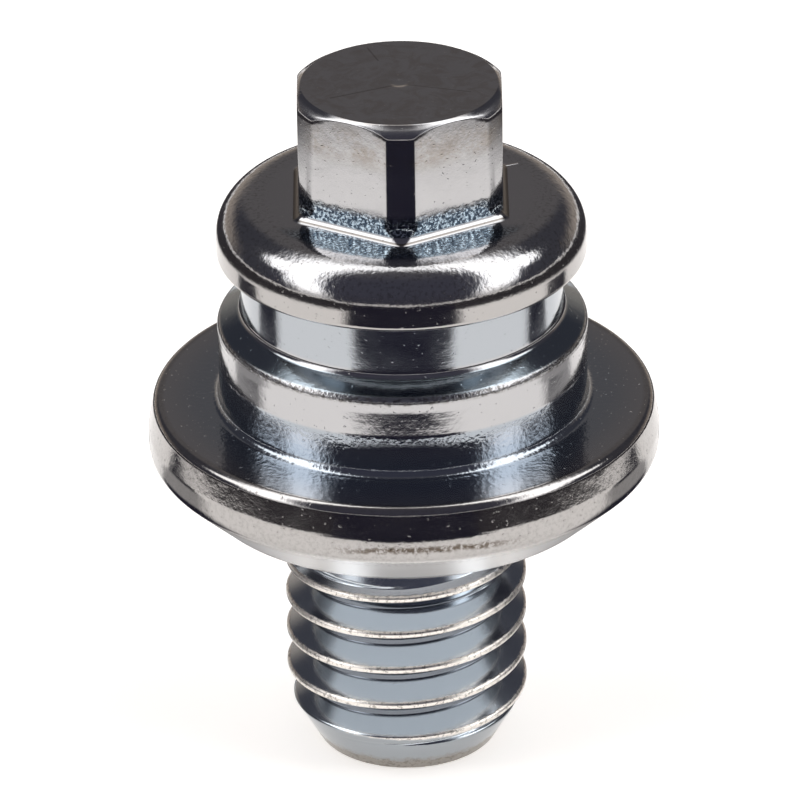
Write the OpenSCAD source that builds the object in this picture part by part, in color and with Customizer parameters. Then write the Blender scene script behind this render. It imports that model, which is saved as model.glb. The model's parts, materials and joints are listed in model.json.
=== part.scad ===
// Battery side terminal bolt, headed and threaded from one piece of steel.
// Millimetres, +Z up. The origin is the centre of the flat thread end that the bolt stands on.

/* [Thread] */
// Major diameter of the thread, 3/8 inch
thread_d = 9.525; // [8.5:0.005:11]
// Thread pitch, 16 turns to the inch
thread_pitch = 1.5875; // [1.2:0.0005:1.8]
// Length of the shank from the flange seat to the thread end
shank_length = 11; // [8:0.1:20]
// Diameter of the flat thread end
tip_d = 7.1; // [5:0.1:7.4]
// Slope of the thread end's chamfer from the end face
tip_chamfer_angle = 60; // [30:1:65]
// Diameter of the plain neck between thread and flange
neck_d = 8.5; // [8.2:0.05:9.2]
// Length of the neck from the seat to where the thread's roots reach it
neck_length = 2.2; // [1.4:0.1:3]
// Length over which the roots rise to the neck, and over which the crests fade into it
runout_length = 1.2; // [0.8:0.1:2]
// Fillet between neck and seat
neck_fillet = 0.6; // [0.3:0.05:0.65]
// Angle of the thread start about the axis
thread_start_angle = 197; // [0:1:359]

/* [Flange] */
// Diameter of the flange
flange_d = 20; // [18.5:0.1:26]
// Thickness of the flange from seat to top face
flange_thickness = 4; // [3.4:0.1:6]
// Diameter of the flat seat under the flange
seat_d = 16; // [14:0.1:17]
// Slope of the cone between seat and rim
flange_cone_angle = 43; // [30:1:50]
// Radius between cone and rim
rim_low_radius = 0.8; // [0.3:0.05:1.2]
// Draft of the rim above its parting line
rim_draft_angle = 10; // [0:1:15]
// Radius of the rim's upper edge
rim_top_radius = 0.35; // [0.2:0.05:0.8]

/* [Lower collar] */
// Diameter of the lower collar, which carries the cable ring
lower_collar_d = 14.4; // [13.4:0.1:16]
// Height of the lower collar from the flange to its edge
lower_collar_height = 3.3; // [2:0.1:6]
// Slope of the ledge between the collar's edge and the groove
ledge_angle = 30; // [10:1:45]
// Fillet at the foot of the collar
collar_fillet = 0.25; // [0.1:0.05:0.5]
// Radius of the collar's edge
collar_edge_radius = 0.3; // [0.1:0.05:0.5]

/* [Groove] */
// Diameter at the bottom of the groove
groove_d = 12.56; // [11:0.02:12.9]
// Width of the groove
groove_width = 2.35; // [1.5:0.05:4]
// Fillets of the groove
groove_fillet = 0.3; // [0.1:0.05:0.4]

/* [Upper collar] */
// Diameter of the upper collar
upper_collar_d = 14.38; // [13.4:0.02:16]
// Height of the upper collar
upper_collar_height = 2.36; // [2:0.02:4]
// Radius of the upper collar's shoulder
shoulder_radius = 1.6; // [0.5:0.05:1.7]
// Radius of the upper collar's lower edge
upper_edge_radius = 0.2; // [0.1:0.05:0.3]

/* [Hexagon] */
// Width across flats, for a 5/16 inch wrench
hex_across_flats = 7.85; // [7:0.05:9]
// Height of the hexagon
hex_height = 4.76; // [3:0.02:8]
// Width across the rounded corners
hex_across_corners = 8.48; // [8:0.02:9]
// Diameter of the hexagon's flat top
hex_top_d = 7.6; // [6:0.05:7.7]
// Slope of the hexagon's top chamfer
hex_chamfer_angle = 30; // [15:1:45]
// Fillet at the foot of the flats
hex_fillet = 0.3; // [0.1:0.05:0.5]
// Fillet at the foot of the rounded corners, which narrow to an edge there
hex_corner_fillet = 0.7; // [0.5:0.05:0.9]

/* [Hidden] */
$fn = 128;

// Straight steps in one turn of the thread
thread_steps = 40;
// How far pieces of the one solid reach into each other
sink = 0.4;
// Share of its radius by which a rounding arc crosses the edges that it blends
arc_bite = 0.01;

// Heights above the thread end
seat_z = shank_length;
flange_top_z = seat_z + flange_thickness;
ledge_edge_z = flange_top_z + lower_collar_height;
groove_z = ledge_edge_z + (lower_collar_d - groove_d) / 2 * tan(ledge_angle);
upper_collar_z = groove_z + groove_width;
hex_z = upper_collar_z + upper_collar_height;
hex_top_z = hex_z + hex_height;
neck_z = seat_z - neck_length;
fade_z = neck_z - runout_length / 3;
// The rim keeps a wall between its two roundings
cone_top_z = min(
    seat_z + (flange_d - seat_d) / 2 * tan(flange_cone_angle),
    flange_top_z - rim_top_radius - rim_low_radius
);
parting_z = cone_top_z + 0.42 * (flange_top_z - cone_top_z);

// Unified 60 degree thread form: crest flat an eighth of the pitch, root flat a sixth
thread_depth = 17 / 48 * sqrt(3) * thread_pitch;
thread_major_r = thread_d / 2;
thread_minor_r = thread_major_r - thread_depth;
thread_form = [
    [thread_major_r, -1 / 16 * thread_pitch],
    [thread_major_r, 1 / 16 * thread_pitch],
    [thread_minor_r, 5 / 12 * thread_pitch],
    [thread_minor_r, 7 / 12 * thread_pitch]
];
// The neck stays between the thread's roots and its crests
neck_r = max(thread_minor_r + 0.1, min(thread_major_r - 0.1, neck_d / 2));
form_size = len(thread_form);
turns = ceil(shank_length / thread_pitch) + 3;
column_size = turns * form_size + 1;

function unit(v) = v / norm(v);
function flat_point(corner) = [corner[0], corner[1]];

// A corner's two edge directions in an outline of [x, z, radius] corners
function edge_to(outline, i, step) =
    let (count = len(outline))
    unit(flat_point(outline[(i + step + count) % count]) - flat_point(outline[i]));

// Positive where an outline that runs anticlockwise turns outwards
function turn_at(outline, i) =
    let (before = edge_to(outline, i, -1), after = edge_to(outline, i, 1))
    after[0] * before[1] - after[1] * before[0];

// The sliver between a sharp corner and the arc that rounds it
module corner_sliver(outline, i) {
    corner = flat_point(outline[i]);
    radius = outline[i][2];
    before = edge_to(outline, i, -1);
    after = edge_to(outline, i, 1);
    half_angle = acos(before * after) / 2;
    inward = unit(before + after);
    tangent = radius / tan(half_angle);
    centre = corner + inward * radius * (1 - arc_bite) / sin(half_angle);
    difference() {
        polygon([
            corner - inward * sink,
            corner + before * tangent,
            centre,
            corner + after * tangent
        ]);
        translate(centre) circle(r = radius);
    }
}

// An outline with true arcs at the corners that have a radius
module rounded_outline(outline) {
    rounded = [for (i = [0 : len(outline) - 1]) if (outline[i][2] > 0) i];
    difference() {
        union() {
            polygon([for (corner = outline) flat_point(corner)]);
            for (i = rounded) if (turn_at(outline, i) < 0) corner_sliver(outline, i);
        }
        for (i = rounded) if (turn_at(outline, i) > 0) corner_sliver(outline, i);
    }
}

// Neck, flange, collars and groove in one turned section. A cone lifts the thread's last roots to the neck
module turned_head() {
    root_slope = runout_length / (neck_r - thread_minor_r);
    core_z = neck_z - runout_length - sink * root_slope;
    rim_top_r = flange_d / 2 - (flange_top_z - parting_z) * tan(rim_draft_angle);
    rotate_extrude()
        rounded_outline([
            [0, core_z, 0],
            [thread_minor_r - sink, core_z, 0],
            [neck_r, neck_z, 0],
            [neck_r, seat_z, neck_fillet],
            [seat_d / 2, seat_z, 0],
            [flange_d / 2, cone_top_z, rim_low_radius],
            [flange_d / 2, parting_z, 0],
            [rim_top_r, flange_top_z, rim_top_radius],
            [lower_collar_d / 2, flange_top_z, collar_fillet],
            [lower_collar_d / 2, ledge_edge_z, collar_edge_radius],
            [groove_d / 2, groove_z, groove_fillet],
            [groove_d / 2, upper_collar_z, groove_fillet],
            [upper_collar_d / 2, upper_collar_z, upper_edge_radius],
            [upper_collar_d / 2, hex_z, shoulder_radius],
            [0, hex_z, 0]
        ]);
}

// One pair of hexagon flats: a slab with a filleted foot, as wide as the hexagon needs
module flats_slab() {
    half = hex_across_flats / 2;
    rotate([90, 0, 0])
        linear_extrude(height = 2 * hex_across_corners, center = true)
            rounded_outline([
                [-half - hex_fillet, hex_z - sink, 0],
                [half + hex_fillet, hex_z - sink, 0],
                [half + hex_fillet, hex_z, 0],
                [half, hex_z, hex_fillet],
                [half, hex_top_z, 0],
                [-half, hex_top_z, 0],
                [-half, hex_z, hex_fillet],
                [-half - hex_fillet, hex_z, 0]
            ]);
}

// The round blank that the hexagon is formed from: it leaves the rounded corners, the chamfer
// and between them as large a crown radius as fits, which curves the upper corners of the flats
module hex_blank() {
    corner_r = hex_across_corners / 2;
    chamfer = (corner_r - hex_top_d / 2) * tan(hex_chamfer_angle);
    chamfer_length = (corner_r - hex_top_d / 2) / cos(hex_chamfer_angle);
    crown_radius = 0.9 * chamfer_length * tan(45 + hex_chamfer_angle / 2);
    rotate_extrude()
        rounded_outline([
            [0, hex_z - sink, 0],
            [corner_r + hex_corner_fillet, hex_z - sink, 0],
            [corner_r + hex_corner_fillet, hex_z, 0],
            [corner_r, hex_z, hex_corner_fillet],
            [corner_r, hex_top_z - chamfer, crown_radius],
            [hex_top_d / 2, hex_top_z, 0],
            [0, hex_top_z, 0]
        ]);
}

module hexagon() {
    intersection() {
        flats_slab();
        rotate([0, 0, 60]) flats_slab();
        rotate([0, 0, 120]) flats_slab();
        hex_blank();
    }
}

// A point of the endless thread: columns step round the axis, rows follow the form up the shank
function thread_point(column, row) =
    let (
        angle = 360 * column / thread_steps,
        form = thread_form[row % form_size],
        turn = floor(row / form_size) + column / thread_steps - 2
    )
    [form[0] * cos(angle), form[0] * sin(angle), form[1] + turn * thread_pitch];

function thread_index(column, row) =
    column < thread_steps
        ? column * column_size + row
        : row + form_size;

// A right-hand thread that runs past both ends of the shank
module endless_thread() {
    points = [
        for (column = [0 : thread_steps - 1], row = [0 : column_size - 1]) thread_point(column, row),
        [0, 0, -3 / 2 * thread_pitch],
        [0, 0, (turns - 3 / 2) * thread_pitch]
    ];
    low_centre = thread_steps * column_size;
    high_centre = low_centre + 1;
    last_column = thread_steps - 1;
    last_row = column_size - 1;
    low_rim = [
        for (column = [0 : last_column]) thread_index(column, 0),
        for (row = [form_size : -1 : 0]) thread_index(0, row)
    ];
    high_rim = [
        for (column = [0 : last_column]) thread_index(column, last_row),
        for (row = [last_row - 1 : -1 : last_row - form_size]) thread_index(last_column, row),
        thread_index(0, last_row)
    ];
    flanks = [
        for (column = [0 : last_column])
            let (rows = column < last_column ? last_row : last_row - form_size)
            for (row = [0 : rows - 1])
                let (
                    near = thread_index(column, row),
                    far = thread_index(column + 1, row)
                )
                each [[near, near + 1, far + 1], [near, far + 1, far]]
    ];
    low_cap = [for (i = [0 : len(low_rim) - 2]) [low_centre, low_rim[i], low_rim[i + 1]]];
    high_cap = [for (i = [0 : len(high_rim) - 2]) [high_centre, high_rim[i + 1], high_rim[i]]];
    polyhedron(points = points, faces = concat(flanks, low_cap, high_cap), convexity = 10);
}

// What the chamfered end and the run-out leave of the thread
module thread_envelope() {
    clear_r = thread_major_r + sink;
    core_r = thread_minor_r - sink;
    chamfer = (clear_r - tip_d / 2) * tan(tip_chamfer_angle);
    fade_slope = runout_length / (thread_major_r - neck_r);
    rotate_extrude()
        polygon([
            [0, 0],
            [tip_d / 2, 0],
            [clear_r, chamfer],
            [clear_r, fade_z - sink * fade_slope],
            [core_r, fade_z + (thread_major_r - core_r) * fade_slope],
            [0, fade_z + (thread_major_r - core_r) * fade_slope]
        ]);
}

module threaded_shank() {
    intersection() {
        rotate([0, 0, thread_start_angle]) endless_thread();
        thread_envelope();
    }
}

module terminal_bolt() {
    color("silver") {
        turned_head();
        hexagon();
        threaded_shank();
    }
}

terminal_bolt();
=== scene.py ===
import json
import math

import bmesh
import bpy
import numpy as np
from mathutils import Matrix, Vector


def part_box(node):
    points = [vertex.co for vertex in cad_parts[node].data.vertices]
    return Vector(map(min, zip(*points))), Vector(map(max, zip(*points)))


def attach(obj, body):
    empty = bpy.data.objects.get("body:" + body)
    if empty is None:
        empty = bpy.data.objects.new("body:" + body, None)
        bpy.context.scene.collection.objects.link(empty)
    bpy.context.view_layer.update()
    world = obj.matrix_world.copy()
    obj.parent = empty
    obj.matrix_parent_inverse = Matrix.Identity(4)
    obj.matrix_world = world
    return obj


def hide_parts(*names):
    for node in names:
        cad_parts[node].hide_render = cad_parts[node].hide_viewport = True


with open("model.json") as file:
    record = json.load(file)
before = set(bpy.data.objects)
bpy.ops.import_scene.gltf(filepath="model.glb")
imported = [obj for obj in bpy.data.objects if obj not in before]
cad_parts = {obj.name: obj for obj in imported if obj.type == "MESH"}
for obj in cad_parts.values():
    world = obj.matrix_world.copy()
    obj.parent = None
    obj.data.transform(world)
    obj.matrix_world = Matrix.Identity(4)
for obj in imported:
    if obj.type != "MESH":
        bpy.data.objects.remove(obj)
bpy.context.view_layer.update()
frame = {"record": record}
mm = 0.001

# what the frame says about the bolt, in millimetres
mounts = {m["name"]: m for m in frame["record"]["mounts"]}
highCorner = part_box("terminal_bolt")[1]
flangeRadius = highCorner.x / mm
topHeight = highCorner.z / mm
seatHeight = mounts["flange_seat"]["pos_m"][2] / mm
flangeTop = mounts["flange_top"]["pos_m"][2] / mm
collarRadius = mounts["cable_ring_collar"]["dims"]["r_mm"]
print(f"frame: bolt {topHeight:.2f} mm high, flange {2 * flangeRadius:.2f} mm across")


class Wire:
    # a socket that takes part in plain sums
    def __init__(self, net, socket):
        self.net = net
        self.socket = socket

    def calc(self, operation, *values):
        return self.net.node("ShaderNodeMath", {"operation": operation}, dict(enumerate(values)))

    def __add__(self, other):
        return self.calc("ADD", self, other)

    def __sub__(self, other):
        return self.calc("SUBTRACT", self, other)

    def __rsub__(self, other):
        return self.calc("SUBTRACT", other, self)

    def __mul__(self, other):
        return self.calc("MULTIPLY", self, other)

    def __truediv__(self, other):
        return self.calc("DIVIDE", self, other)

    def __pow__(self, other):
        return self.calc("POWER", self, other)

    def __abs__(self):
        return self.calc("ABSOLUTE", self)

    __radd__ = __add__
    __rmul__ = __mul__

    def least(self, other):
        return self.calc("MINIMUM", self, other)

    def most(self, other):
        return self.calc("MAXIMUM", self, other)

    def softLeast(self, other, blend):
        return self.calc("SMOOTH_MIN", self, other, blend)

    def softMost(self, other, blend):
        return self.calc("SMOOTH_MAX", self, other, blend)

    def ramp(self, low, high):
        # 0 below low, 1 above high, eased between
        return self.net.node("ShaderNodeMapRange", {"interpolation_type": "SMOOTHSTEP"},
                             {"Value": self, "From Min": low, "From Max": high})

    def band(self, low, high, soft):
        return self.ramp(low - soft, low + soft) * (1 - self.ramp(high - soft, high + soft))


class Net:
    # a node tree, and the one way in which nodes are added to it
    def __init__(self, tree):
        self.tree = tree

    def node(self, kind, settings=None, sockets=None, out=0):
        made = self.tree.nodes.new(kind)
        for name, value in (settings or {}).items():
            setattr(made, name, value)
        for key, value in (sockets or {}).items():
            if isinstance(value, Wire):
                self.tree.links.new(value.socket, made.inputs[key])
            else:
                made.inputs[key].default_value = value
        return Wire(self, made.outputs[out]) if made.outputs else made

    def scaled(self, vector, scale):
        sockets = {0: vector, "Scale": scale}
        return self.node("ShaderNodeVectorMath", {"operation": "SCALE"}, sockets, "Vector")

    def millimetres(self):
        # the place on the piece
        return self.scaled(self.node("ShaderNodeTexCoord", None, None, "Object"), 1 / mm)

    def parts(self, vector):
        made = self.node("ShaderNodeSeparateXYZ", None, {0: vector}).socket.node
        return [Wire(self, made.outputs[i]) for i in range(3)]

    def joined(self, x, y, z):
        return self.node("ShaderNodeCombineXYZ", None, {0: x, 1: y, 2: z})

    def tinted(self, share, under, over):
        # mixes two colours
        return self.node("ShaderNodeMix", {"data_type": "RGBA"}, {0: share, 6: under, 7: over}, 2)

    def noise(self, place, scale, detail, roughness, warp=0.0):
        return self.node("ShaderNodeTexNoise", None, {
            "Vector": place, "Scale": scale, "Detail": detail, "Roughness": roughness, "Distortion": warp})


def newMaterial(name):
    material = bpy.data.materials.new(name)
    material.use_nodes = True
    material.node_tree.nodes.clear()
    return material, Net(material.node_tree)


def newObject(name, mesh):
    thing = bpy.data.objects.new(name, mesh)
    bpy.context.scene.collection.objects.link(thing)
    return thing


# the hexagon, all in mm and degrees
hexForm = {
    "acrossFlats": 7.85,
    "acrossCorners": 8.48,
    "height": 4.76,
    "topDiameter": 7.6,
    "chamferSlope": 30.0,
    "crown": 0.45,
    "flatFillet": 0.3,
    "cornerFillet": 0.7,
    "footLap": 0.05,           # of the first row past the fillet
    "topSoft": 0.06,
    "cornerBlend": 0.05,
    "dimple": [(0.64, 0.0), (0.4, 0.01), (0.2, 0.04)],     # radius, depth
    "uncut": 10.0,             # takes the flats clear of the foot and the top
}
hexFoot = topHeight - hexForm["height"]

# columns round the axis: closer together where the hexagon's flats turn into its rounded corners
columnForm = {"flatColumns": 14, "turnColumns": 5, "cornerColumns": 5, "turnHalf": 2.0}


def columnAngles(cfg, hexCfg):
    edge = math.degrees(math.acos(hexCfg["acrossFlats"] / hexCfg["acrossCorners"]))
    half = cfg["turnHalf"]
    stops = [(-edge + half, cfg["flatColumns"]), (edge - half, cfg["turnColumns"]),
             (edge + half, cfg["cornerColumns"]), (60 - edge - half, cfg["turnColumns"])]
    sector = []
    for i, (start, count) in enumerate(stops):
        end = stops[i + 1][0] if i + 1 < len(stops) else stops[0][0] + 60
        sector += [start + (end - start) * k / count for k in range(count)]
    return np.radians([60 * turn + angle for turn in range(6) for angle in sector])


angles = columnAngles(columnForm, hexForm)


def softLeast(a, b, blend):
    near = np.clip(blend - np.abs(a - b), 0, None) / blend
    return np.minimum(a, b) - near ** 2 * blend / 4


# the turned head, from the neck's lower end to the hexagon's foot
headForm = {
    "neckRadius": 4.15,
    "neckLength": 1.3,         # where the thread is all gone
    "neckFillet": 0.6,
    "seatRadius": 8.0,
    "seatEdge": 0.15,
    "coneSlope": 43.0,
    "rimLow": 0.8,
    "rimParting": 1.2,
    "partingShare": 0.42,      # of the rim's height
    "rimDraft": 10.0,
    "rimTop": 0.35,
    "collarHeight": 3.3,
    "collarFlare": (2.75, 0.03),     # from this height, by this much
    "flareRounding": 3.0,
    "collarFillet": 0.35,
    "collarEdge": 0.3,
    "ledgeSlope": 30.0,
    "grooveRadius": 6.28,
    "grooveWidth": 2.35,
    "grooveFillet": 0.3,
    "upperRadius": 7.19,
    "upperEdge": 0.2,
    "shoulder": 1.6,
    "topLap": 0.25,            # of the last row past the hexagon's fillet
}
neckStart = seatHeight - headForm["neckLength"]
ledgeHeight = flangeTop + headForm["collarHeight"]


def headCorners(cfg, hexCfg):
    # (radius, height, rounding, steps of the rounding) for each corner of the section up to the hexagon
    ledgeRise = (collarRadius - cfg["grooveRadius"]) * math.tan(math.radians(cfg["ledgeSlope"]))
    grooveFoot = ledgeHeight + ledgeRise
    upperFoot = grooveFoot + cfg["grooveWidth"]
    coneTop = seatHeight + (flangeRadius - cfg["seatRadius"]) * math.tan(math.radians(cfg["coneSlope"]))
    parting = coneTop + cfg["partingShare"] * (flangeTop - coneTop)
    rimTop = flangeRadius - (flangeTop - parting) * math.tan(math.radians(cfg["rimDraft"]))
    flareStart, flare = cfg["collarFlare"]
    return [
        (cfg["neckRadius"], neckStart, 0, 0),
        (cfg["neckRadius"], seatHeight, cfg["neckFillet"], 7),
        (cfg["seatRadius"], seatHeight, cfg["seatEdge"], 4),
        (flangeRadius, coneTop, cfg["rimLow"], 10),
        (flangeRadius, parting, cfg["rimParting"], 4),
        (rimTop, flangeTop, cfg["rimTop"], 12),
        (collarRadius, flangeTop, cfg["collarFillet"], 7),
        (collarRadius, flangeTop + flareStart, cfg["flareRounding"], 4),
        (collarRadius + flare, ledgeHeight, cfg["collarEdge"], 7),
        (cfg["grooveRadius"], grooveFoot, cfg["grooveFillet"], 7),
        (cfg["grooveRadius"], upperFoot, cfg["grooveFillet"], 6),
        (cfg["upperRadius"], upperFoot, cfg["upperEdge"], 7),
        (cfg["upperRadius"], hexFoot, cfg["shoulder"], 16),
        (hexCfg["acrossCorners"] / 2 + hexCfg["cornerFillet"] + cfg["topLap"], hexFoot, 0, 0),
    ]


def hexRows(cfg, theta):
    # rows up a round blank with filleted foot, crown and chamfer, cut back to the flats in each column
    corner, top, fillet = cfg["acrossCorners"] / 2, cfg["topDiameter"] / 2, cfg["flatFillet"]
    crown = topHeight - (corner - top) * math.tan(math.radians(cfg["chamferSlope"]))
    blank = roundedRows([
        (corner + cfg["cornerFillet"] + cfg["footLap"], hexFoot, 0, 0),
        (corner, hexFoot, cfg["cornerFillet"], 14),
        (corner, crown, cfg["crown"], 30),
        (top, topHeight, cfg["topSoft"], 4),
    ] + [(radius, topHeight - depth, 0, 0) for radius, depth in cfg["dimple"]], 1)
    away = (theta + math.pi / 6) % (math.pi / 3) - math.pi / 6
    rows = []
    for radius, height in blank:
        above = min(max(height[0] - hexFoot, 0), fillet)
        flare = fillet - math.sqrt(above * (2 * fillet - above))
        flat = (cfg["acrossFlats"] / 2 + flare) / np.cos(away)
        if above == 0 or radius[0] < top - 2 * cfg["topSoft"]:
            flat = flat + cfg["uncut"]
        cut = softLeast(flat, radius, cfg["cornerBlend"])
        rows.append(np.array([cut, np.broadcast_to(height, len(theta))]))
    return rows


def roundedRows(corners, count, support=0.05):
    # points up the section for every column: arcs at the corners, and rows close to each arc's ends
    spots = [np.array([np.full(count, radius), np.full(count, height)]) for radius, height, _, _ in corners]
    arcs = []
    for i, (_, _, rounding, steps) in enumerate(corners):
        if not rounding:
            arcs.append([spots[i]])
            continue
        before = spots[i - 1] - spots[i]
        after = spots[i + 1] - spots[i]
        before = before / np.linalg.norm(before, axis=0)
        after = after / np.linalg.norm(after, axis=0)
        half = np.arccos(np.clip((before * after).sum(axis=0), -1, 1)) / 2
        middle = before + after
        centre = spots[i] + middle / np.linalg.norm(middle, axis=0) * rounding / np.sin(half)
        start = spots[i] + before * rounding / np.tan(half) - centre
        end = spots[i] + after * rounding / np.tan(half) - centre
        turn = math.pi - 2 * half
        arcs.append([centre + (np.sin((1 - k / steps) * turn) * start + np.sin(k / steps * turn) * end)
                     / np.sin(turn) for k in range(steps + 1)])
    rows = []
    for i, arc in enumerate(arcs):
        rows += arc
        if i + 1 < len(arcs):
            span = arcs[i + 1][0] - arc[-1]
            length = np.linalg.norm(span, axis=0)
            if length.min() > 4 * support:
                rows += [arc[-1] + span * share for share in (support / length, 0.5, 1 - support / length)]
    return rows


def turnedMesh(name, rows, theta, pole):
    # a closed turn of the rows, capped by one point on the axis
    count = len(theta)
    points = np.concatenate([np.stack([row[0] * np.cos(theta), row[0] * np.sin(theta), row[1]], axis=1)
                             for row in rows] + [np.array([[0.0, 0.0, pole]])])
    faces = []
    for k in range(len(rows) - 1):
        for c in range(count):
            d = (c + 1) % count
            faces.append((k * count + c, k * count + d, (k + 1) * count + d, (k + 1) * count + c))
    last = (len(rows) - 1) * count
    faces += [(last + c, last + (c + 1) % count, len(points) - 1) for c in range(count)]
    mesh = bpy.data.meshes.new(name)
    mesh.from_pydata((points * mm).tolist(), [], faces)
    return mesh


headRows = roundedRows(headCorners(headForm, hexForm), len(angles)) + hexRows(hexForm, angles)
headMesh = turnedMesh("boltHead", headRows, angles, topHeight - hexForm["dimple"][-1][1])
print(f"head: {len(headMesh.polygons)} faces in {len(headRows)} rows")

# the rolled thread: an unrolled sheet of angle and height that a node tree wraps round the axis
threadForm = {
    "Pitch": 1.5875,
    "Major radius": 4.7625,
    "Minor radius": 3.7887,
    "Start angle": math.radians(197),
    "Crest softness": 0.10,
    "Root softness": 0.03,
    "End radius": 3.55,
    "End slope": math.tan(math.radians(60)),
    "End softness": 0.10,
    "End root": 4.45,          # fills the groove in the end chamfer
    "Groove start": 1.4,
    "Groove full": 2.0,
    "Neck radius": headForm["neckRadius"],
    "Neck start": neckStart,
    "Neck blend": 0.6,
    "Lifted root": 4.42,
    "Root rise": seatHeight - 3.6,
    "Root fall": 0.8,
    "Crest fade": seatHeight - 2.6,
    "Run-out": 1.2,
    "Pole radius": 0.05,       # rows inside it close on the axis
}
sheetForm = {"rowsPerPitch": 30, "pitchesBelow": 2.2, "pitchesAbove": 0.2}


def threadSheet(cfg, sheetCfg, theta):
    closing = np.append(theta, theta[0] + 2 * math.pi)
    pitch = cfg["Pitch"]
    step = pitch / sheetCfg["rowsPerPitch"]
    low = -(cfg["End radius"] + sheetCfg["pitchesBelow"] * pitch)
    high = neckStart + sheetCfg["pitchesAbove"] * pitch - pitch * theta[0] / (2 * math.pi)
    heights = np.arange(math.floor(low / step), math.ceil(high / step) + 1) * step
    points = [(angle, height, 0.0) for height in heights for angle in closing]
    count = len(closing)
    faces = [(k * count + c, k * count + c + 1, (k + 1) * count + c + 1, (k + 1) * count + c)
             for k in range(len(heights) - 1) for c in range(count - 1)]
    mesh = bpy.data.meshes.new("threadSheet")
    mesh.from_pydata(points, [], faces)
    return mesh


def threadTree(cfg):
    tree = bpy.data.node_groups.new("rolledThread", "GeometryNodeTree")
    tree.interface.new_socket(name="Geometry", in_out="OUTPUT", socket_type="NodeSocketGeometry")
    tree.interface.new_socket(name="Geometry", in_out="INPUT", socket_type="NodeSocketGeometry")
    for name in cfg:
        tree.interface.new_socket(name=name, in_out="INPUT", socket_type="NodeSocketFloat")
    tree.interface.new_socket(name="Finish", in_out="INPUT", socket_type="NodeSocketMaterial")
    net = Net(tree)
    given = tree.nodes.new("NodeGroupInput")
    size = {name: Wire(net, given.outputs[name]) for name in cfg}
    pitch = size["Pitch"]

    # rows climb with the helix, flanks stand at 60 degrees and the crest's flat is an eighth of the pitch
    angle, row, _ = net.parts(net.node("GeometryNodeInputPosition"))
    height = row + pitch * angle / (2 * math.pi)
    phase = row / pitch + size["Start angle"] / (2 * math.pi) + 0.5
    fromCrest = abs(phase.calc("FRACT", phase) - 0.5) * pitch
    flank = size["Major radius"] + (pitch / 16 - fromCrest) * math.sqrt(3)

    # towards the neck the root rises and the crest fades, and the end chamfer has no groove
    risen = ((height - size["Root rise"]) / size["Run-out"]).most(0.0).least(1.0)
    faded = ((height - size["Crest fade"]) / size["Run-out"]).most(0.0).least(1.0)
    fallen = ((height - size["Root rise"] - size["Run-out"]) / size["Root fall"]).most(0.0).least(1.0)
    filled = 1 - height.ramp(size["Groove start"], size["Groove full"])
    root = size["Minor radius"] + (size["Lifted root"] - size["Minor radius"]) * risen
    root = root + (size["Neck radius"] - size["Lifted root"]) * fallen
    root = root + (size["End root"] - size["Minor radius"]) * filled
    crest = size["Major radius"] + (size["Neck radius"] - size["Major radius"]) * faded
    form = flank.softMost(root, size["Root softness"]).softLeast(crest, size["Crest softness"])
    neck = height.ramp(size["Neck start"] - size["Neck blend"], size["Neck start"])
    form = form + (size["Neck radius"] - form) * neck

    # a chamfer above the end, and the flat end below it
    endCone = size["End radius"] + height.most(0.0) / size["End slope"] + height.least(0.0)
    radius = form.softLeast(endCone, size["End softness"])
    radius = radius * radius.calc("GREATER_THAN", radius, size["Pole radius"])
    level = height.softMost(0.0, size["End softness"]).least(size["Neck start"])
    spot = net.joined(radius * angle.calc("COSINE", angle), radius * angle.calc("SINE", angle), level)

    rolled = net.node("GeometryNodeSetPosition", None, {
        "Geometry": Wire(net, given.outputs["Geometry"]), "Position": net.scaled(spot, mm)})
    rolled = net.node("GeometryNodeMergeByDistance", None, {"Geometry": rolled, "Distance": 1e-6})
    rolled = net.node("GeometryNodeSetShadeSmooth", None, {"Geometry": rolled})
    rolled = net.node("GeometryNodeRealizeInstances", None, {"Geometry": rolled})
    rolled = net.node("GeometryNodeSetMaterial", None, {
        "Geometry": rolled, "Material": Wire(net, given.outputs["Finish"])})
    net.node("NodeGroupOutput", None, {"Geometry": rolled})
    return tree


def threadMesh(cfg, sheetCfg, finish):
    sheet = newObject("threadSheet", threadSheet(cfg, sheetCfg, angles))
    roll = sheet.modifiers.new("roll", "NODES")
    roll.node_group = threadTree(cfg)
    for item in roll.node_group.interface.items_tree:
        if item.in_out == "INPUT" and item.name in cfg:
            roll[item.identifier] = cfg[item.name]
        elif item.in_out == "INPUT" and item.name == "Finish":
            roll[item.identifier] = finish
    graph = bpy.context.evaluated_depsgraph_get()
    mesh = bpy.data.meshes.new_from_object(sheet.evaluated_get(graph))
    sheet.modifiers.clear()
    bpy.data.objects.remove(sheet)
    return mesh


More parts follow.
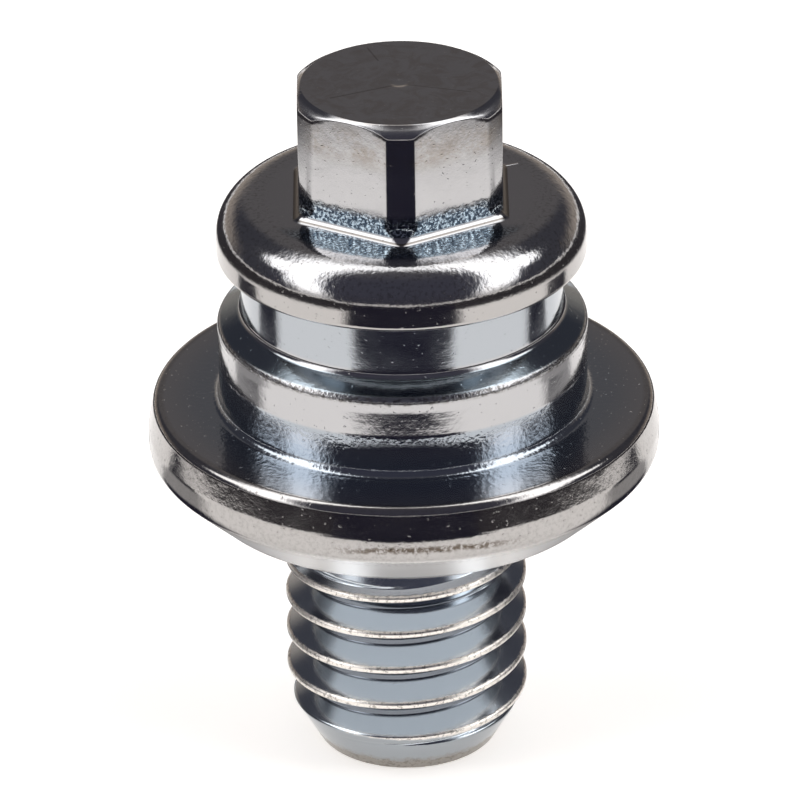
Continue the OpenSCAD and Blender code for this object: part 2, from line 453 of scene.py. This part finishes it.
# the bright zinc finish, with painted shade and painted highlights in some of its layers: a zone is the
# product of its parts, which are other zones or dictionaries that say of what measure, at what level, and
# from and to where it rises or falls
zincFinish = {
    "tint": (0.495, 0.490, 0.497, 1),
    "gloss": 0.10,
    "leastGloss": 0.04,
    "glossMiddle": 0.4,
    "glossSpread": 0.10,
    "threadGloss": 0.15,
    "wornGloss": 0.30,
    "reliefDepth": 0.0045,     # mm
    "scratches": [             # on the hexagon's top: from, to, width in mm
        ((0.05, -0.14), (-2.62, -1.32), 0.07),
        ((0.05, -0.14), (2.72, -0.93), 0.05),
        ((-1.21, 3.18), (-0.80, 2.00), 0.05),
    ],
    "nick": ((4.05, 2.40), (4.55, 2.60), 0.05),
    "streak": {"height": 13.33, "summit": 0.6, "bend": 0.012, "waver": 0.25, "middle": 0.8},
    "noises": {                # scale to the mm, detail, roughness, warp
        "mottle": (3.2, 3.0, 0.6),
        "grain": (11.0, 2.0, 0.6),
        "dimples": (1.7, 3.0, 0.58),
        "pitting": (6.5, 1.0, 0.5),
        "fine": (5.0, 2.0, 0.55),
        "patches": (0.9, 3.0, 0.55),
        "speckle": (6.5, 3.0, 0.65),
        "wisps": (1.1, 4.0, 0.65, 1.2),
        "glitter": (9.0, 2.0, 0.6),
    },
    "rings": (14.0, 2.0, 0.6),
    "stainMix": (0.6, 0.4),    # patches, speckle
    "zones": {
        "shank": [dict(of="z", at="seat", fall=(-1.2, -0.4))],
        # the crests: worn plating, with a painted highlight in their colour
        "crest": ["shank", dict(of="radius", rise=(4.62, 4.70), uneven=0.12)],
        # the thread's roots, which the layers below colour dark as painted shade
        "root": ["shank", dict(of="radius", fall=(3.84, 3.90)), dict(of="z", rise=(0.6, 1.0))],
        "tipEdge": [dict(of="z", fall=(0.40, 0.75), uneven=0.6)],
        # the end chamfer, which the layers below colour darker as painted shade
        "endCone": ["shank", dict(of="offEnd", fall=(0.05, 0.10)), dict(of="z", fall=(1.8, 2.1))],
        "cone": [dict(of="z", at="seat", rise=(-0.05, 0.25), fall=(1.55, 1.85))],
        # painted highlight: the front of the cone, coloured much lighter than its sides by the layers below
        "coneFront": ["cone", dict(of="side", fall=(2.5, 5.5)), dict(of="y", fall=(-6.0, -4.0))],
        "rim": [dict(of="radius", rise=(9.3, 9.5))],
        # the flange top and the collar's foot, which the layers below colour darker as painted shade
        "skirt": [dict(of="z", at="flangeTop", rise=(-0.18, -0.02), fall=(1.62, 1.78)),
                  dict(of="radius", fall=(7.8, 9.5))],
        "brow": [dict(of="z", at="ledge", rise=(-0.28, -0.16), fall=(0.0, 0.12)),
                 dict(of="radius", rise=(6.9, 7.0))],
        # the ledge, which the layers below colour dark as painted shade
        "ledge": [dict(of="z", at="ledge", rise=(-0.01, 0.11), fall=(0.44, 0.56)),
                  dict(of="radius", rise=(6.3, 6.4))],
        # the groove, which the layers below colour darker and bluer as painted shade
        "groove": [dict(of="z", at="ledge", rise=(0.65, 0.85), fall=(2.7, 2.9)),
                   dict(of="radius", fall=(6.5, 6.7))],
        "upper": [dict(of="z", at="hexFoot", rise=(-2.65, -2.35), fall=(-1.15, -0.85)),
                  dict(of="radius", rise=(6.8, 6.9))],
        "shoulder": [dict(of="z", at="hexFoot", rise=(-1.5, -0.9)), dict(of="radius", rise=(4.9, 5.6))],
        "walls": ["not groove", "not shank", dict(of="z", at="hexFoot", fall=(-1.6, -0.4))],
        "apron": [dict(of="z", at="hexFoot", rise=(-0.05, -0.03), fall=(0.005, 0.025)),
                  dict(of="radius", fall=(5.3, 5.7)), dict(of="y", fall=(-3.4, -2.6))],
        "fillet": [dict(of="z", at="hexFoot", rise=(0.005, 0.015), fall=(0.395, 0.405)),
                   dict(of="radius", fall=(4.9, 5.1))],
        "ahead": [dict(of="y", fall=(-2.4, -2.0))],
        # the foot fillet at the sides and back, coloured dark below as painted shade
        "sideFillet": ["fillet", "not ahead"],
        # painted shade: a dark line along the middle of the foot fillet at the front
        "seam": ["fillet", "ahead", dict(of="z", at="hexFoot", rise=(0.03, 0.07), fall=(0.09, 0.13))],
        "foot": [dict(of="z", at="hexFoot", rise=(0.24, 0.30)),
                 dict(of="z", at="hexFoot", fall=(0.8, 1.15), uneven=0.4)],
        "hexagon": [dict(of="z", at="hexFoot", rise=(0.0, 0.2))],
        "hexTop": [dict(of="z", at="top", rise=(-0.05, -0.02))],
        "crown": ["not hexTop", dict(of="z", at="top", rise=(-0.40, -0.22)),
                  dict(of="radius", rise=(3.9, 4.05))],
        "pits": [dict(of="pitting", rise=(0.70, 0.79))],
        "topScratches": ["hexTop", "scratchLines"],
        "topNick": ["nickLine", dict(of="z", at="hexFoot", rise=(-0.12, -0.08), fall=(0.08, 0.12))],
        "topStain": ["hexTop", dict(of="wisps", rise=(0.40, 0.65))],
        "smudge": [dict(of="z", at="top", rise=(-2.1, -1.3), fall=(-0.75, 0.05)),
                   dict(of="stains", rise=(0.36, 0.66))],
        # painted glints: light specks over the painted foot shade
        "footSpark": ["foot", dict(of="glitter", rise=(0.45, 0.61))],
        "apronSpark": ["apron", dict(of="glitter", rise=(0.45, 0.61))],
        "crestDirt": ["crest", dict(of="speckle", rise=(0.50, 0.64))],
        "tipDirt": ["tipEdge", dict(of="speckle", rise=(0.50, 0.64))],
        "rimDirt": ["rim", dict(of="speckle", rise=(0.40, 0.75))],
        "browDirt": ["brow", dict(of="speckle", rise=(0.42, 0.62))],
        "shoulderDirt": ["shoulder", dict(of="speckle", rise=(0.48, 0.70))],
        "rimStreak": [dict(of="offStreak", fall=(0.03, 0.20)), dict(of="besideStreak", fall=(1.8, 4.2)),
                      dict(of="y", fall=(-8.9, -8.4)), dict(of="speckle", rise=(0.32, 0.56))],
    },
    "strongest": {             # the most of several zones, each with its share
        "tanned": {"rim": 1.0, "upper": 1.0},
        # painted shade on the flats' lower part and on the collar's top in front of the hexagon
        "darkFoot": {"foot": 1.0, "apron": 0.8},
        # painted glints: light specks over the painted foot shade
        "sparkle": {"footSpark": 1.0, "apronSpark": 1.0},
        "worn": {"crest": 1.0, "tipEdge": 1.0, "crown": 0.7, "cone": 1.0, "root": 0.6, "brow": 0.6,
                 "sideFillet": 1.0},
        # dirt specks on crest, tip, rim, brow and shoulder; painted shade in the hexagon's foot fillet
        "dirt": {"crestDirt": 0.6, "tipDirt": 0.6, "rimDirt": 0.25, "browDirt": 0.7, "shoulderDirt": 0.45,
                 "seam": 0.9, "sideFillet": 1.0},
    },
    "relief": {                # height of each texture, and what it gains in a zone
        "grain": (0.12, {"rim": 0.25, "crest": 3.0, "brow": 3.0}),
        "dimples": (0.5, {"groove": 0.4, "walls": 0.9, "shoulder": 2.6, "rim": 0.6}),
        "pits": (0.5, {"walls": 0.7}),
        "fine": (0.1, {"walls": 0.22, "skirt": 3.0, "apron": 2.2, "foot": 3.0, "shoulder": 1.4}),
        "rings": (0.14, {"hexagon": -0.10, "cone": 1.2, "hexTop": 0.2}),
        "topScratches": (-0.3, {}),
        "topNick": (4.0, {}),
    },
    "layers": [                # zone, its share, colour, each over the ones before it
        ("shank", 1.0, (0.550, 0.593, 0.635, 1)),
        # painted shade: the thread's roots are coloured dark, as if shaded between the flanks
        ("root", 1.0, (0.20, 0.22, 0.25, 1)),
        # painted shade: the end chamfer, which faces down towards the floor, is coloured darker than the
        # thread
        ("endCone", 1.0, (0.345, 0.370, 0.395, 1)),
        # the crests: the warm tone of worn plating, with a painted highlight that makes them far lighter than
        # the plate
        ("crest", 1.0, (0.92, 0.87, 0.81, 1)),
        # painted shade: the groove between the collars is coloured darker and bluer
        ("groove", 1.0, (0.425, 0.450, 0.480, 1)),
        ("tipEdge", 1.0, (0.31, 0.29, 0.265, 1)),
        # painted shade: the ledge at the groove's foot is coloured dark and bluish
        ("ledge", 1.0, (0.31, 0.36, 0.40, 1)),
        ("tanned", 1.0, (0.448, 0.432, 0.422, 1)),
        # painted highlight: the front of the cone under the flange is coloured much lighter than its sides
        ("coneFront", 1.0, (0.86, 0.85, 0.84, 1)),
        # painted shade: darker and bluer on the flange top and the collar's foot, fading out towards the rim
        ("skirt", 1.0, (0.395, 0.428, 0.468, 1)),
        # dirt specks, and painted shade in the hexagon's foot fillet
        ("dirt", 1.0, (0.13, 0.115, 0.10, 1)),
        ("topStain", 0.5, (0.36, 0.32, 0.29, 1)),
        ("topScratches", 0.45, (0.13, 0.105, 0.085, 1)),
        ("smudge", 0.7, (0.36, 0.315, 0.27, 1)),
        # painted shade: very dark blue on the flats' foot and the collar top before them
        ("darkFoot", 1.0, (0.055, 0.075, 0.10, 1)),
        # painted glints: lighter bluish specks over the painted foot shade
        ("sparkle", 1.0, (0.55, 0.61, 0.65, 1)),
        ("rimStreak", 1.0, (0.13, 0.105, 0.085, 1)),
    ],
}
zoneLevels = {"end": 0.0, "seat": seatHeight, "flangeTop": flangeTop, "ledge": ledgeHeight,
              "hexFoot": hexFoot, "top": topHeight}


def lineMark(x, y, start, end, width):
    # 1 on a short straight line, 0 beside it
    along = (end[0] - start[0], end[1] - start[1])
    length = along[0] ** 2 + along[1] ** 2
    share = (((x - start[0]) * along[0] + (y - start[1]) * along[1]) / length).most(0.0).least(1.0)
    gapX = x - start[0] - share * along[0]
    gapY = y - start[1] - share * along[1]
    return 1 - ((gapX * gapX + gapY * gapY) ** 0.5).ramp(width * 0.3, width)


def zincMeasures(cfg, net):
    # what the zones are told by: place, distance from a form or a mark, and noise
    place = net.millimetres()
    x, y, z = net.parts(place)
    radius = (x * x + y * y) ** 0.5
    field = {name: net.noise(place, *values) for name, values in cfg["noises"].items()}
    patchShare, speckleShare = cfg["stainMix"]
    streak = cfg["streak"]
    aside = x - streak["summit"]
    sag = aside * aside * streak["bend"] + (field["mottle"] - 0.5) * streak["waver"]
    marks = lineMark(x, y, *cfg["scratches"][0])
    for scratch in cfg["scratches"][1:]:
        marks = marks.most(lineMark(x, y, *scratch))
    field.update({
        "y": y, "z": z, "side": abs(x), "radius": radius,
        "rings": net.noise(net.joined(radius, z, 0.0), *cfg["rings"]),
        "stains": field["patches"] * patchShare + field["speckle"] * speckleShare,
        "offEnd": abs(radius - threadForm["End radius"] - z / threadForm["End slope"]),
        "offStreak": abs(z - streak["height"] + sag),
        "besideStreak": abs(x - streak["middle"]),
        "scratchLines": marks,
        "nickLine": lineMark(x, y, *cfg["nick"]),
    })
    return field


def zonePart(field, part):
    if isinstance(part, str):
        name = part.removeprefix("not ")
        return field[name] if name == part else 1 - field[name]
    value, level = field[part["of"]], zoneLevels[part.get("at", "end")]
    if "uneven" in part:
        value = value + (field["mottle"] - 0.5) * part["uneven"]
    share = 1.0
    if "rise" in part:
        share = value.ramp(level + part["rise"][0], level + part["rise"][1])
    if "fall" in part:
        share = share * (1 - value.ramp(level + part["fall"][0], level + part["fall"][1]))
    return share


def zincMaterial(cfg):
    material, net = newMaterial("zincPlate")
    field = zincMeasures(cfg, net)
    for name, parts in cfg["zones"].items():
        field[name] = zonePart(field, parts[0])
        for part in parts[1:]:
            field[name] = field[name] * zonePart(field, part)
    for name, shares in cfg["strongest"].items():
        strongest = 0.0
        for zone, share in shares.items():
            strongest = (field[zone] * share).most(strongest)
        field[name] = strongest

    relief = 0.0
    for name, (height, gains) in cfg["relief"].items():
        for zone, gain in gains.items():
            height = field[zone] * gain + height
        relief = field[name] * height + relief

    gloss = cfg["gloss"] + (field["patches"] - cfg["glossMiddle"]) * cfg["glossSpread"]
    gloss = gloss + field["shank"] * (cfg["threadGloss"] - cfg["gloss"])
    gloss = gloss + (cfg["wornGloss"] - gloss) * field["worn"]

    colour = cfg["tint"]
    for zone, share, tint in cfg["layers"]:
        colour = net.tinted(field[zone] * share, colour, tint)

    bump = net.node("ShaderNodeBump", None, {
        "Strength": 1.0, "Distance": cfg["reliefDepth"] * mm, "Height": relief})
    shader = net.node("ShaderNodeBsdfPrincipled", None, {
        "Base Color": colour, "Metallic": 1.0, "Roughness": gloss.most(cfg["leastGloss"]), "Normal": bump})
    net.node("ShaderNodeOutputMaterial", None, {"Surface": shader})
    return material


zincPlate = zincMaterial(zincFinish)
print("finish: zinc plate ready")

shankMesh = threadMesh(threadForm, sheetForm, zincPlate)
print(f"thread: {len(shankMesh.polygons)} faces")


def weldedBolt(name, finish, *meshes):
    # one closed skin from the head and the thread
    build = bmesh.new()
    for mesh in meshes:
        build.from_mesh(mesh)
    bmesh.ops.remove_doubles(build, verts=build.verts, dist=1e-6)
    bmesh.ops.recalc_face_normals(build, faces=build.faces)
    for face in build.faces:
        face.smooth = True
        face.material_index = 0
    openEdges = sum(1 for edge in build.edges if len(edge.link_faces) != 2)
    triangles = sum(len(face.verts) - 2 for face in build.faces)
    volume = build.calc_volume(signed=True) / mm ** 3
    mesh = bpy.data.meshes.new(name)
    build.to_mesh(mesh)
    build.free()
    mesh.materials.clear()
    mesh.materials.append(finish)
    print(f"bolt: {triangles} triangles, {openEdges} open edges, {volume:.1f} cubic mm")
    return newObject(name, mesh)


bolt = weldedBolt("terminalBolt", zincPlate, headMesh, shankMesh)
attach(bolt, "root")
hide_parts("terminal_bolt")

# the studio: pale floor, a dark card that only the metal sees and that carries painted shadows of the bolt,
# two lamps, two long light bands in the air
studio = {
    "floorHalf": 0.95,                        # m
    "floorHeight": -0.02,                     # mm
    "floorColour": (0.80, 0.79, 0.775, 1),
    "floorGlow": 0.56,
    "floorGlowColour": (1.0, 0.965, 0.93, 1),
    "cardHalf": 0.3,
    "cardHeight": 0.2,
    "cardColour": (0.024, 0.023, 0.038, 1),
    "farColour": (0.050, 0.046, 0.052, 1),
    "lampPower": 0.22,
    "lampSize": (0.09, 0.09),
    "lampPlace": (0.36, -0.15, 0.24),
    "frontAir": (0.068, 0.068, 0.092, 1),
    "backAir": (0.142, 0.134, 0.138, 1),
    "backStart": (-0.5, 0.4),
    "sideAir": (0.062, 0.062, 0.076, 1),
    "sideStart": (0.22, 0.45),
    "lowBackAir": (0.42, 0.365, 0.32, 1),
    "lowBackStart": (0.35, 0.8),
    "lowBackRise": (4.0, 22.0),               # degrees, full and gone
    "bandAxis": (-0.540, -0.740, 0.4005),     # square to the right-hand band
    "bandColour": (1.0, 1.0, 1.0, 1),
    "bandGlow": 3.0,
    "bandHalf": (3.0, 17.0),                  # degrees, full and gone
    "bandRise": (-12.0, 26.0),
    "bandBack": (0.0, 0.6),
    "bandBackLoss": 0.6,
    "spotPlace": (0.743, 0.026, 0.669),       # a softer light outside each band
    "spotEdge": (0.955, 0.988),
    "spotShare": 0.8,
}

# the card's dark forms, in mm from the bolt's axis; the patch and back forms are painted shadows of the bolt
cardForm = {
    "frontStart": (35.0, 38.5),
    "frontHalf": 8.0,
    "frontSpread": 0.47,                # for each mm ahead
    "frontSoft": (-4.0, 4.0),
    "patchInside": (10.0, 13.0),
    "patchOutside": (47.0, 53.0),
    "patchFront": (-4.0, 2.0),
    "patchBend": (34.0, 12.0, 0.4),     # from, over, slope
    "patchBack": (9.0, 13.0),
    "patchBackSlope": 0.2,
    "patchGap": (24.0, 38.0, 4.0),
    "patchGapLoss": 0.35,
    "backDepth": (5.0, 28.0, 2.0),
    "backWidth": (4.5, 14.0, 2.0),
    "backShare": 0.75,
    "farStart": (57.0, 68.0),
    "farBend": (-20.0, 0.12),           # from, slope
}


def floorMaterial(cfg):
    material, net = newMaterial("paleFloor")
    path = net.node("ShaderNodeLightPath").socket.node
    seen = [Wire(net, path.outputs[name]) for name in
            ("Is Camera Ray", "Is Glossy Ray", "Is Transmission Ray")]
    glow = net.node("ShaderNodeEmission", None, {
        "Color": cfg["floorGlowColour"],
        "Strength": seen[0].most(seen[1]).most(seen[2]) * cfg["floorGlow"]})
    paper = net.node("ShaderNodeBsdfDiffuse", None, {"Color": cfg["floorColour"]})
    net.node("ShaderNodeOutputMaterial", None, {
        "Surface": net.node("ShaderNodeAddShader", None, {0: glow, 1: paper})})
    return material


def cardMaterial(cfg, form):
    # dark in front of the bolt and far out, painted shadows of the bolt beside it and behind it, clear
    # elsewhere
    material, net = newMaterial("darkCard")
    x, y, _ = net.parts(net.millimetres())
    side, ahead = abs(x), y * -1.0
    wedge = side - ahead * form["frontSpread"] - form["frontHalf"]
    front = ahead.ramp(*form["frontStart"]) * (1 - wedge.ramp(*form["frontSoft"]))
    start, over, slope = form["patchBend"]
    bent = y - (side - start).most(0.0).least(over) * slope
    # painted shadow of the bolt on the card, beside it to left and right
    sideShadow = side.ramp(*form["patchInside"]) * (1 - side.ramp(*form["patchOutside"]))
    sideShadow = sideShadow * bent.ramp(*form["patchFront"])
    sideShadow = sideShadow * (1 - (y - side * form["patchBackSlope"]).ramp(*form["patchBack"]))
    sideShadow = sideShadow * (1 - side.band(*form["patchGap"]) * form["patchGapLoss"])
    # painted shadow of the bolt on the card, just behind it
    backShadow = y.band(*form["backDepth"]) * side.band(*form["backWidth"]) * form["backShare"]
    start, slope = form["farBend"]
    far = ((x * x + y * y) ** 0.5 + (y - start).most(0.0) * slope).ramp(*form["farStart"])
    near = front.most(sideShadow).most(backShadow)
    glow = net.node("ShaderNodeEmission", None, {
        "Color": net.tinted(near, cfg["farColour"], cfg["cardColour"]), "Strength": 1.0})
    clear = net.node("ShaderNodeBsdfTransparent")
    net.node("ShaderNodeOutputMaterial", None, {
        "Surface": net.node("ShaderNodeMixShader", None, {0: near.most(far), 1: clear, 2: glow})})
    return material


def levelSheet(name, half, height, material):
    mesh = bpy.data.meshes.new(name)
    mesh.from_pydata([(x * half, y * half, height * mm) for x, y in ((-1, -1), (1, -1), (1, 1), (-1, 1))],
                     [], [(0, 1, 2, 3)])
    mesh.materials.append(material)
    thing = newObject(name, mesh)
    return thing


def floorLamp(name, place, size, power):
    lamp = bpy.data.lights.new(name, "AREA")
    lamp.shape = "RECTANGLE"
    lamp.size, lamp.size_y = size
    lamp.energy = power
    thing = newObject(name, lamp)
    aim = -Vector(place)
    thing.matrix_world = Matrix.Translation(place) @ aim.to_track_quat("-Z", "Y").to_matrix().to_4x4()
    thing.visible_camera = False
    thing.visible_glossy = False


def lightAir(cfg):
    world = bpy.data.worlds.new("studioAir")
    bpy.context.scene.world = world
    world.use_nodes = True
    world.node_tree.nodes.clear()
    net = Net(world.node_tree)
    x, y, z = net.parts(net.node("ShaderNodeTexCoord", None, None, "Generated"))
    degrees = 180 / math.pi
    rise = z.calc("ARCSINE", z) * degrees
    behind = net.tinted(abs(x).ramp(*cfg["sideStart"]), cfg["backAir"], cfg["sideAir"])
    air = net.tinted(y.ramp(*cfg["backStart"]), cfg["frontAir"], behind)
    low = (1 - rise.ramp(*cfg["lowBackRise"])) * y.ramp(*cfg["lowBackStart"])
    air = net.tinted(low, air, cfg["lowBackAir"])
    a, b, c = cfg["bandAxis"]
    across = abs(x) * a + y * b + z * c
    band = 1 - (abs(across.calc("ARCSINE", across)) * degrees).ramp(*cfg["bandHalf"])
    band = band * rise.ramp(*cfg["bandRise"]) * (1 - y.ramp(*cfg["bandBack"]) * cfg["bandBackLoss"])
    a, b, c = cfg["spotPlace"]
    band = band.most((abs(x) * a + y * b + z * c).ramp(*cfg["spotEdge"]) * cfg["spotShare"])
    air = net.node("ShaderNodeMix", {"data_type": "RGBA", "blend_type": "ADD", "clamp_factor": False},
                   {0: band * cfg["bandGlow"], 6: air, 7: cfg["bandColour"]}, 2)
    net.node("ShaderNodeOutputWorld", None, {
        "Surface": net.node("ShaderNodeBackground", None, {"Color": air, "Strength": 1.0})})


def buildStudio(cfg, form):
    levelSheet("floor", cfg["floorHalf"], cfg["floorHeight"], floorMaterial(cfg))
    card = levelSheet("darkCard", cfg["cardHalf"], cfg["cardHeight"], cardMaterial(cfg, form))
    card.visible_camera = False
    card.visible_diffuse = False
    card.visible_shadow = False
    x, y, z = cfg["lampPlace"]
    floorLamp("lampLeft", (-x, y, z), cfg["lampSize"], cfg["lampPower"])
    floorLamp("lampRight", (x, y, z), cfg["lampSize"], cfg["lampPower"])
    lightAir(cfg)


buildStudio(studio, cardForm)

# the photograph's viewpoint, in mm and degrees
viewpoint = {
    "elevation": 27.5,
    "distance": 296.0,
    "lensPixels": 7563.0,
    "imagePixels": 800,
    "sensor": 36.0,
    "clip": (0.01, 10.0),      # m
    "aim": (-0.14, 0.0, 14.59),
    "roll": -0.8,
}


def buildCamera(cfg):
    lens = bpy.data.cameras.new("viewCamera")
    lens.sensor_width = cfg["sensor"]
    lens.lens = cfg["lensPixels"] / cfg["imagePixels"] * cfg["sensor"]
    lens.clip_start, lens.clip_end = cfg["clip"]
    camera = newObject("viewCamera", lens)
    tilt = math.radians(cfg["elevation"])
    aim = Vector(cfg["aim"]) * mm
    spot = aim + Vector((0, -math.cos(tilt), math.sin(tilt))) * cfg["distance"] * mm
    turn = (aim - spot).to_track_quat("-Z", "Y").to_matrix().to_4x4()
    camera.matrix_world = Matrix.Translation(spot) @ turn @ Matrix.Rotation(math.radians(cfg["roll"]), 4, "Z")
    bpy.context.scene.camera = camera


buildCamera(viewpoint)
bpy.context.scene.view_settings.view_transform = "Standard"
print("studio: lights and camera set")
